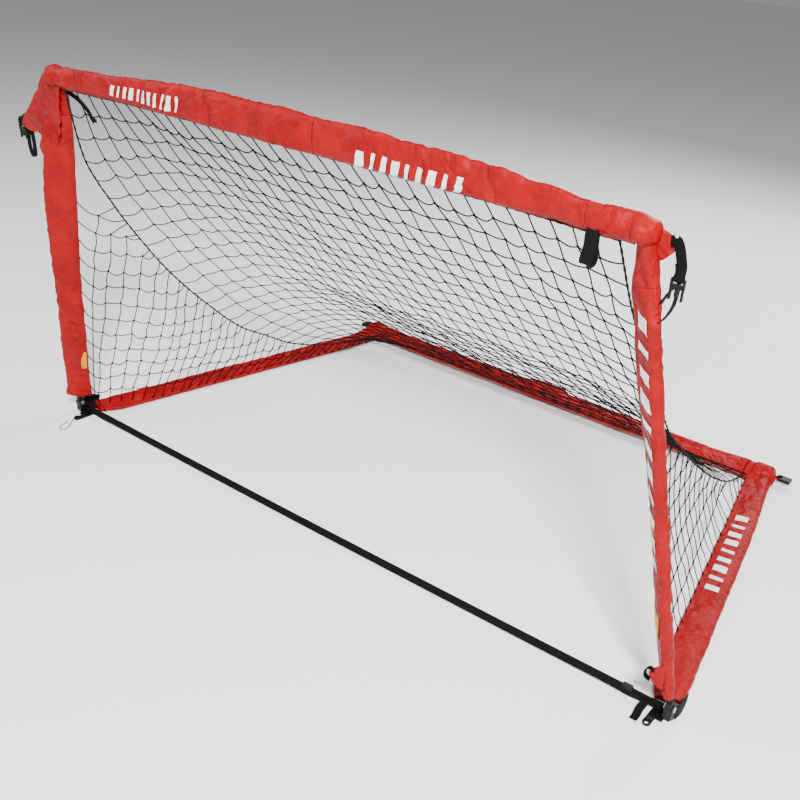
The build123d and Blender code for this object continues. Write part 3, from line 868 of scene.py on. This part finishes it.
SIDE_ROW, SIDE_REACH = 0.0535, 1.115  # height of a side net's meshes, and how far back its columns go
GATHERED, SPREAD = (0.012, 0.0315), (0.100, 0.0435)  # from the foot to the first column, and the pitch
for side, name in SIDES:
    cords, knots = Bundle(), Bundle()
    heights = [0.016 + SIDE_ROW * k for k in range(18)]
    first, pitch = GATHERED if side < 0 else SPREAD
    columns = [FOOT_Y + first + pitch * k for k in range(round((SIDE_REACH - first) / pitch))]
    spots = {}
    for r, z in enumerate(heights):
        start = post_hem(side, min(0.94, z / 0.97))
        if z < 0.90:
            spots[(r, -1)] = Vector((side * start.x, start.y, start.z - 0.002))
        for c, y in enumerate(columns):
            drop = 0.030 * math.sin(math.pi * min(1.0, max(0.0, (y - start.y) / 0.55))) * smooth(z, 0.05, 0.4)
            fit = Vector((0, chance.uniform(-0.004, 0.004), -drop + chance.uniform(-0.004, 0.004)))
            if y > start.y + 0.02 and z - drop < seam_at(y, side) - 0.012:
                spots[(r, c)] = side_point(y, z, side, fit)
                spots[(r, c)].z = max(0.008, spots[(r, c)].z)
    for r in range(len(heights)):
        row = [spots[(r, c)] for c in range(-1, len(columns)) if (r, c) in spots]
        if len(row) < 2:
            continue
        last = row[-1]
        if r:
            ahead_of = [p for p in seam_lines[side] if p.y > last.y]
            along = min(ahead_of, key=lambda p: (p - Vector((0, last.y + 0.01, last.z))).length, default=None)
            if along is not None:
                row.append(Vector((side * half_width(along.y), along.y, along.z)))
        path = []
        for a, b in zip(row, row[1:]):
            path += hanging(a, b, chance.uniform(0.002, 0.011), -RISE)
        path.append(row[-1])
        for p in path:
            p.z = max(0.004, p.z)
        if r:
            cords.tube(path, NET_R)
    for c in range(len(columns)):
        column = [spots[(r, c)] for r in range(len(heights)) if (r, c) in spots]
        if not column:
            continue
        y = columns[c]
        foot = Vector((side * (base_hem_x(y) + 0.002), y, 0.011))
        top = Vector((side * half_width(y), y + 0.004, seam_at(y, side)))
        if top.z > column[-1].z:
            column.append(top)
        path = [foot]
        for a, b in zip([foot] + column, column):
            path += [a.lerp(b, 0.5) + Vector((0, chance.uniform(-0.005, 0.005), 0)), b]
        cords.tube(path, NET_R)
        for p in column[:-1]:
            knots.knot(p, Vector((0, 0, 1)), NET_R * 1.75)
    for piece, label in ((cords, f"{name}_side_net"), (knots, f"{name}_side_net_knots")):
        obj = piece.object(label, NET)
        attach(obj, f"{name}_base")
        squashed(obj, "post_fold")
        if piece is cords:
            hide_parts(label)


# ---- printed bars -------------------------------------------------------------------------------
def on_cloth(name, run, x, lift):
    """A point on a sleeve's front. x is 1 at its hem, 0 at the pole and -1 at its outer edge."""
    rings, rows = grids[name]
    span = [r.run for r in rings]
    k = max(0, min(len(span) - 2, next((i for i, v in enumerate(span) if v > run), len(span)) - 1))
    t = min(1.0, max(0.0, (run - span[k]) / (span[k + 1] - span[k])))
    place = (1 - x) * FACE_STEPS if x > 0 else FACE_STEPS + ARC_STEPS / math.pi * math.asin(-x)
    j = int(place)
    a, b = (row[j].lerp(row[j + 1], place - j) for row in rows[k : k + 2])
    return a.lerp(b, t) + rings[k].face * lift


def run_at(cloth, axis, value):
    """How far along a sleeve its pole has the given x (axis 0), y (1) or z (2)."""
    return min(grids[cloth][0], key=lambda r: abs(r.at[axis] - value)).run


def printed(name, cloth, body, axis, first, last, count, slant, low, high):
    """A row of slanted bars of uneven width, laid on the cloth from first to last along an axis."""
    across, along = 6, 16
    points, faces, uv = [], [], []
    first_run, last_run = run_at(cloth, axis, first), run_at(cloth, axis, last)
    pitch = (last_run - first_run) / count
    for k in range(count):
        width, start = pitch * (0.62, 0.30, 0.46)[k % 3], len(points)
        for j in range(along + 1):
            x = low + (high - low) * j / along
            for i in range(across + 1):
                run = first_run + pitch * (k + 0.5) + width * (i / across - 0.5) + slant * (j / along - 0.5)
                points.append(on_cloth(cloth, run, x, 0.0012))
                uv.append((run, x * 0.06))
        for j in range(along):
            for i in range(across):
                a = start + j * (across + 1) + i
                faces.append((a, a + across + 1, a + across + 2, a + 1))
    obj = made_object(name, points, faces, PRINT, uv)
    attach(obj, body)


for name, cloth, body, *spread in (
    ("crossbar_left", "crossbar_cloth_left", "crossbar_left", 0, -0.556, -0.312, 11, 0.010, -0.10, -0.62),
    ("crossbar_right", "crossbar_cloth_right", "crossbar_right", 0, 0.185, 0.444, 9, 0.012, 0.55, -0.42),
    ("right_post", "right_post_cloth", "right_post", 2, 0.88, 0.36, 11, 0.014, 0.62, -0.10),
    ("right_base", "right_base_cloth", "right_base", 1, 0.343, -0.076, 9, 0.014, 0.66, 0.0),
):
    printed(f"print_{name}", cloth, body, *spread)


# ---- cloth ears, webbing and small fittings -----------------------------------------------------
def patch(name, top, bottom, body, thickness, rough, count, seed=2.0, surface=RED):
    """A flap of cloth between two smooth edges."""
    edges = [curve_through(edge, 0.005) for edge in (top, bottom)]
    last = max(len(edge) for edge in edges) - 1
    a, b = ([edge[round(k * (len(edge) - 1) / last)] for k in range(last + 1)] for edge in edges)
    grid = [[p.lerp(q, j / count) for j in range(count + 1)] for p, q in zip(a, b)]
    obj = quilt(name, grid, thickness, surface, rough, seed)
    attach(obj, body)
    return obj


def strap(name, path, widths, width, body, thickness=0.0016, step=0.003):
    """A length of webbing along a smooth path; widths gives its flat direction from end to end."""
    smooth_path = curve_through(path, step)
    across = []
    for k in range(len(smooth_path)):
        place = k / (len(smooth_path) - 1) * (len(widths) - 1)
        i = int(place)
        across.append(widths[i].lerp(widths[min(i + 1, len(widths) - 1)], place - i))
    made = Bundle()
    made.ribbon(smooth_path, across, width, thickness)
    obj = made.object(name, WEB)
    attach(obj, body)
    return obj


def corners(name):
    """The two corners of a node's box."""
    return (Vector(p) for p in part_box(name))


def clip_bar(name):
    """The bar that a buckle's prong half hangs from."""
    low, high = corners(name)
    return Vector(((low.x + high.x) / 2, (low.y + high.y) / 2, high.z - 0.0022))


def arch_points(*spots):
    return [arch(*spot) for spot in spots]


# top left ear: it sweeps out from the corner and down to its buckle
ear = patch(
    "left_top_ear",
    arch_points(
        (-0.752, 1.010, 0.016), (-0.800, 1.006, 0.018), (-0.834, 0.986, 0.018), (-0.880, 0.939, 0.016),
        (-0.930, 0.892, 0.013), (-0.978, 0.852, 0.010), (-0.982, 0.838, 0.009), (-0.958, 0.829, 0.009),
        (-0.930, 0.834, 0.010), (-0.905, 0.838, 0.012), (-0.902, 0.818, 0.014), (-0.918, 0.795, 0.014),
        (-0.912, 0.770, 0.012),
    ),
    arch_points(
        (-0.740, 0.985, 0.026), (-0.752, 0.975, 0.028), (-0.764, 0.955, 0.028), (-0.774, 0.930, 0.026),
        (-0.782, 0.905, 0.024), (-0.790, 0.885, 0.022), (-0.796, 0.870, 0.020), (-0.802, 0.858, 0.019),
        (-0.808, 0.846, 0.018), (-0.814, 0.834, 0.017), (-0.822, 0.818, 0.017), (-0.830, 0.800, 0.017),
        (-0.838, 0.775, 0.015),
    ),
    "left_post", thickness=0.004, rough=0.006, count=26,
)
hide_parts("left_corner_tab")
bar = clip_bar("left_buckle_clip")
web_in = arch(-0.972, 0.848, 0.006)
strap(
    "left_top_webbing",
    offsets(web_in, (0.012, 0, 0.012), (0, 0, 0))
    + offsets(
        bar, (0, -0.0042, 0.010), (0, -0.0042, 0), (0, -0.0006, -0.0046), (0, 0.0042, 0.0),
        (0.002, 0.0036, 0.012), (0.014, 0.004, 0.020),
    ),
    [ACROSS], 0.019, "left_post",
)
strap(
    "left_top_loop",
    offsets(
        bar + Vector((0.016, 0.002, 0.012)), (0, 0, 0), (0.006, -0.002, -0.020), (0.005, -0.002, -0.060),
        (0.010, 0, -0.085), (0.018, 0.002, -0.088), (0.020, 0.002, -0.060), (0.016, 0.002, -0.022),
        (0.010, 0.003, 0.0),
    ),
    [Vector((0.15, 1, 0.05))], 0.010, "left_post",
)

# top right ear: short cloth, then webbing down to its buckle
ear = patch(
    "right_top_ear",
    arch_points((0.792, 1.003, 0.006), (0.818, 0.990, 0.004), (0.838, 0.980, 0.003), (0.846, 0.966, 0.002)),
    arch_points((0.803, 0.930, 0.006), (0.812, 0.932, 0.004), (0.826, 0.940, 0.003), (0.840, 0.954, 0.002)),
    "right_post", thickness=0.004, rough=0.004, count=14, seed=5.0,
)
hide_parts("right_corner_tab")
bar = clip_bar("right_buckle_clip")
strap(
    "right_top_webbing",
    arch_points((0.832, 0.972, 0.002), (0.846, 0.974, 0.002))
    + offsets(
        bar, (0.002, -0.003, 0.022), (0, -0.0042, 0.0), (0, -0.0006, -0.0046), (0, 0.0042, 0.0),
        (-0.003, 0.004, 0.020), (-0.006, 0.002, 0.026),
    ),
    [ACROSS], 0.019, "right_post",
)
strap(
    "right_top_loop",
    offsets(
        bar + Vector((-0.004, 0.003, 0.018)), (0, 0, 0), (0.004, 0.003, -0.030), (0.001, 0.004, -0.066),
        (-0.010, 0.003, -0.092), (-0.020, 0.002, -0.100), (-0.024, 0.002, -0.080), (-0.014, 0.003, -0.052),
        (-0.004, 0.005, -0.036),
    ),
    [Vector((0.2, 1, 0.1))], 0.012, "right_post",
)

# rear ears, each with its half of a buckle
for side, name in SIDES:
    low, high = corners(f"{name}_buckle_socket")
    inner = Vector((low.x if side > 0 else high.x, (low.y + high.y) / 2, (low.z + high.z) / 2))
    root = Vector((side * (CORNER_X - 0.006), inner.y, inner.z))
    ear = patch(
        f"{name}_rear_ear",
        offsets(root, (0, -0.040, -0.006), (side * 0.022, -0.020, -0.004))
        + offsets(inner, (side * 0.006, -0.010, 0)),
        offsets(root, (0, 0.020, -0.006), (side * 0.022, 0.013, -0.004))
        + offsets(inner, (side * 0.006, 0.010, 0)),
        f"{name}_base", thickness=0.0034, rough=0.003, count=10, seed=3.0 + side,
    )
    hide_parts(f"{name}_rear_tab")
    strap(
        f"{name}_rear_webbing",
        offsets(
            inner, (side * -0.010, 0, 0.003), (0, 0, 0.0075), (side * 0.0045, 0, 0.002),
            (side * 0.0045, 0, -0.002), (0, 0, -0.0075), (side * -0.010, 0, -0.003),
        ),
        [Vector((0, 1, 0))], 0.018, f"{name}_base", thickness=0.0012, step=0.0015,
    )

# hook-and-loop strap that hangs from the crossbar's hem, and the webbing loop inside the top left corner
hem = crossbar_hem(0.705) + FRONT * 0.004
strap(
    "closing_strap",
    [hem + ACROSS * x + UP * up + FRONT * forward for x, up, forward in (
        (0, 0.016, 0.002), (0, 0, 0.008), (0, -0.022, 0.010), (-0.006, -0.048, 0.008),
        (-0.006, -0.055, 0.003), (0, -0.046, -0.002), (0, -0.018, 0), (0, 0.004, 0),
    )],
    [ACROSS, ACROSS + UP * 0.1], 0.024, "crossbar_right", thickness=0.0026,
)
strap(
    "inner_webbing",
    arch_points(
        (-0.772, 0.950, 0.004), (-0.755, 0.946, 0.004), (-0.735, 0.938, 0.003), (-0.716, 0.926, 0.002),
        (-0.702, 0.912, 0.0), (-0.694, 0.898, 0.0), (-0.686, 0.894, 0.0), (-0.680, 0.902, 0.002),
    ),
    [UP + ACROSS, ACROSS * 0.6 + UP * 0.8, ACROSS], 0.013, "left_post",
)

# yellow labels in the posts' hems, each wider in some places than in others
LABEL_TALL = 0.060
for name, low_z, reach in (
    ("left", 0.165, (0.50, 0.38, 0.48, 0.74)), ("right", 0.262, (-0.1, -0.1, 0.0, 0.2)),
):
    cloth = f"{name}_post_cloth"
    runs = [run_at(cloth, 2, low_z) + LABEL_TALL * n / 3 for n in range(4)]
    patch(
        f"{name}_label",
        [on_cloth(cloth, run, 0.97, 0.0014) for run in runs],
        [on_cloth(cloth, run, x, 0.0024) for run, x in zip(runs, reach)],
        f"{name}_post", thickness=0.0008, rough=0.0004, count=8, surface=YELLOW,
    )

# ---- ground strap -------------------------------------------------------------------------------
low, high = corners("ground_strap")
BAND, BAND_THICK = 0.020, 0.0016
LUG_BAR = 0.0165  # from the strap's end to its lug's bar
end_x, end_z, mid_z = high.x, high.z - BAND / 2, low.z + BAND / 2
strap_y = (low.y + high.y) / 2


def tilt_at(x):
    """The band stands on edge at its lugs and lies over toward the front between them."""
    lean = hump(x, -end_x, -end_x + 0.12, end_x - 0.12, end_x)
    return RISE * (1 - 0.55 * lean) + Vector((0, 0.9 * lean, 0))


def strap_points(side, *steps):
    """Points near one end of the strap, by their steps outward, to the rear and up from it."""
    return [Vector((side * (end_x + out), strap_y + y, end_z + z)) for out, y, z in steps]


turn = ((LUG_BAR, 0.0028, 0), (LUG_BAR + 0.002, -0.003, 0), (0.006, -0.0042, 0))
sag = [
    Vector((u * (end_x + 0.002), strap_y - 0.0016, mid_z + (end_z - mid_z) * u * u))
    for u in [k / 8 - 1 for k in range(1, 16)]
]
path = curve_through(strap_points(-1, *turn) + sag + strap_points(1, *reversed(turn)), 0.006)
band = Bundle()
band.ribbon(path, [tilt_at(p.x) for p in path], BAND, BAND_THICK)
for side in (-1, 1):
    doubled = ((LUG_BAR, 0.0028, 0), (0.004, 0.0036, 0), (-0.012, 0.0004, -0.0003), (-0.060, 0.0002, -0.0008))
    back = curve_through(strap_points(side, *doubled), 0.005)
    band.ribbon(back, [RISE] * len(back), BAND, BAND_THICK)
ground = band.object("ground_strap_web", WEB)
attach(ground, "left_base")
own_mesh(ground)
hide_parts("ground_strap")

low, high = corners("strap_tail")
loose_tail = strap(
    "strap_tail_web",
    offsets(high, (-0.012, 0.002, 0.001), (-0.013, -0.012, -0.002), (-0.015, -0.026, -0.008))
    + offsets(low, (0.012, 0.014, 0.004), (0.011, 0, 0.002)),
    [ACROSS, ACROSS + Vector((0, 0.1, 0.15))], 0.0185, "right_base",
)
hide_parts("strap_tail")


# ---- feet: webbing over each one's outer side, a ring in its eye, and a cord for the left peg ---------
for side, name in SIDES:
    foot = Vector((side * FOOT_X, FOOT_Y, 0))
    patch(
        f"{name}_foot_web",
        offsets(foot, (side * 0.0125, 0.010, 0.040), (side * 0.0135, 0.034, 0.042),
                (side * 0.0130, 0.058, 0.038), (side * 0.0110, 0.078, 0.030)),
        offsets(foot, (side * 0.0135, 0.010, 0.004), (side * 0.0160, 0.032, 0.004),
                (side * 0.0150, 0.052, 0.006), (side * 0.0120, 0.072, 0.012)),
        f"{name}_base", thickness=0.0024, rough=0.0008, count=8, surface=WEB,
    )
    eye = Vector((side * (FOOT_X - 0.030), FOOT_Y - 0.036, 0.0065))
    turns = [k * math.pi / 6 for k in range(13)]
    round_eye = offsets(eye, *[(0.0075 * math.cos(a), 0.0095 * math.sin(a), 0) for a in turns])
    ring = Bundle()
    ring.tube(curve_through(round_eye, 0.0015), 0.0016, 7)
    obj = ring.object(f"{name}_peg_ring", ROPE)
    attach(obj, f"{name}_base")

start = Vector((-(FOOT_X - 0.030), FOOT_Y - 0.046, 0.0065))
route = offsets(
    start, (0, 0, 0), (0.003, -0.008, -0.002), (0.008, -0.016, -0.0042), (0.016, -0.026, -0.0048),
    (0.026, -0.038, -0.0048), (0.033, -0.050, -0.0048), (0.030, -0.062, -0.0048), (0.018, -0.064, -0.0048),
    (0.008, -0.055, -0.0048), (0.003, -0.043, -0.0048), (-0.001, -0.031, -0.0048), (-0.004, -0.020, -0.0048),
)
curve = bpy.data.curves.new("left_peg_cord", "CURVE")
curve.dimensions = "3D"
curve.bevel_depth = 0.0011
curve.bevel_resolution = 3
spline = curve.splines.new("NURBS")
spline.points.add(len(route) - 1)
for point, place in zip(spline.points, route):
    point.co = (*place, 1)
spline.order_u = 3
spline.use_endpoint_u = True
curve.materials.append(ROPE)
peg_cord = linked(bpy.data.objects.new("left_peg_cord", curve))
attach(peg_cord, "left_base")

# small cloth ear low on the right post, with its webbing
patch(
    "right_low_ear",
    arch_points((0.975, 0.118, 0.010), (0.966, 0.114, 0.015), (0.955, 0.104, 0.019), (0.948, 0.092, 0.021)),
    arch_points((0.982, 0.046, 0.008), (0.970, 0.054, 0.014), (0.958, 0.066, 0.018), (0.949, 0.080, 0.021)),
    "right_post", thickness=0.004, rough=0.003, count=12, seed=6.0,
)
strap(
    "right_low_web",
    arch_points(
        (0.958, 0.100, 0.021), (0.948, 0.104, 0.024), (0.941, 0.096, 0.024), (0.942, 0.080, 0.024),
        (0.952, 0.072, 0.022),
    ),
    [FRONT + UP * 0.2], 0.014, "right_post", thickness=0.0018,
)

# ---- camera, light and floor --------------------------------------------------------------------
camera_data = bpy.data.cameras.new("camera")
camera = linked(bpy.data.objects.new("camera", camera_data))
YAW, PITCH, ROLL = -0.57728, -0.51396, 0.10003
CAMERA_AT = (1.41994, -2.06383, 1.42559)
ahead = Vector((math.sin(YAW) * math.cos(PITCH), math.cos(YAW) * math.cos(PITCH), math.sin(PITCH)))
right = Vector((math.cos(YAW), -math.sin(YAW), 0))
above = right.cross(ahead)
tilted = right * math.cos(ROLL) + above * math.sin(ROLL)
upward = -right * math.sin(ROLL) + above * math.cos(ROLL)
camera.matrix_world = Matrix(
    [[tilted[k], upward[k], -ahead[k], CAMERA_AT[k]] for k in range(3)] + [[0, 0, 0, 1]]
)
camera_data.sensor_width = 36.0
camera_data.lens = 42.946146
camera_data.shift_x, camera_data.shift_y = -0.0793179, 0.0775710
bpy.context.scene.camera = camera


def area_light(name, place, target, power, size, color):
    data = bpy.data.lights.new(name, "AREA")
    data.energy, data.size, data.color = power, size, color
    light = linked(bpy.data.objects.new(name, data))
    light.location = place
    light.rotation_euler = (Vector(target) - Vector(place)).to_track_quat("-Z", "Y").to_euler()


area_light("key", (2.6, -3.2, 3.6), (0, 0, 0.4), 700, 0.8, (1.0, 0.985, 0.96))
area_light("fill", (-3.2, -2.2, 2.6), (0, 0, 0.4), 110, 2.0, (0.96, 0.98, 1.0))
area_light("rim", (0.4, 3.4, 3.0), (0, 0, 0.5), 200, 2.0, (1, 1, 1))
world = bpy.data.worlds.new("studio")
bpy.context.scene.world = world
world.use_nodes = True
backdrop = world.node_tree.nodes["Background"]
backdrop.inputs["Color"].default_value = (1, 1, 1, 1)
backdrop.inputs["Strength"].default_value = 0.28
floor_material = material("floor", (0.86, 0.86, 0.86), 0.9)[0]
bpy.ops.mesh.primitive_plane_add(size=60, location=(0, 0, 0))
floor = bpy.context.object
floor.name = "floor"
floor.data.materials.append(floor_material)
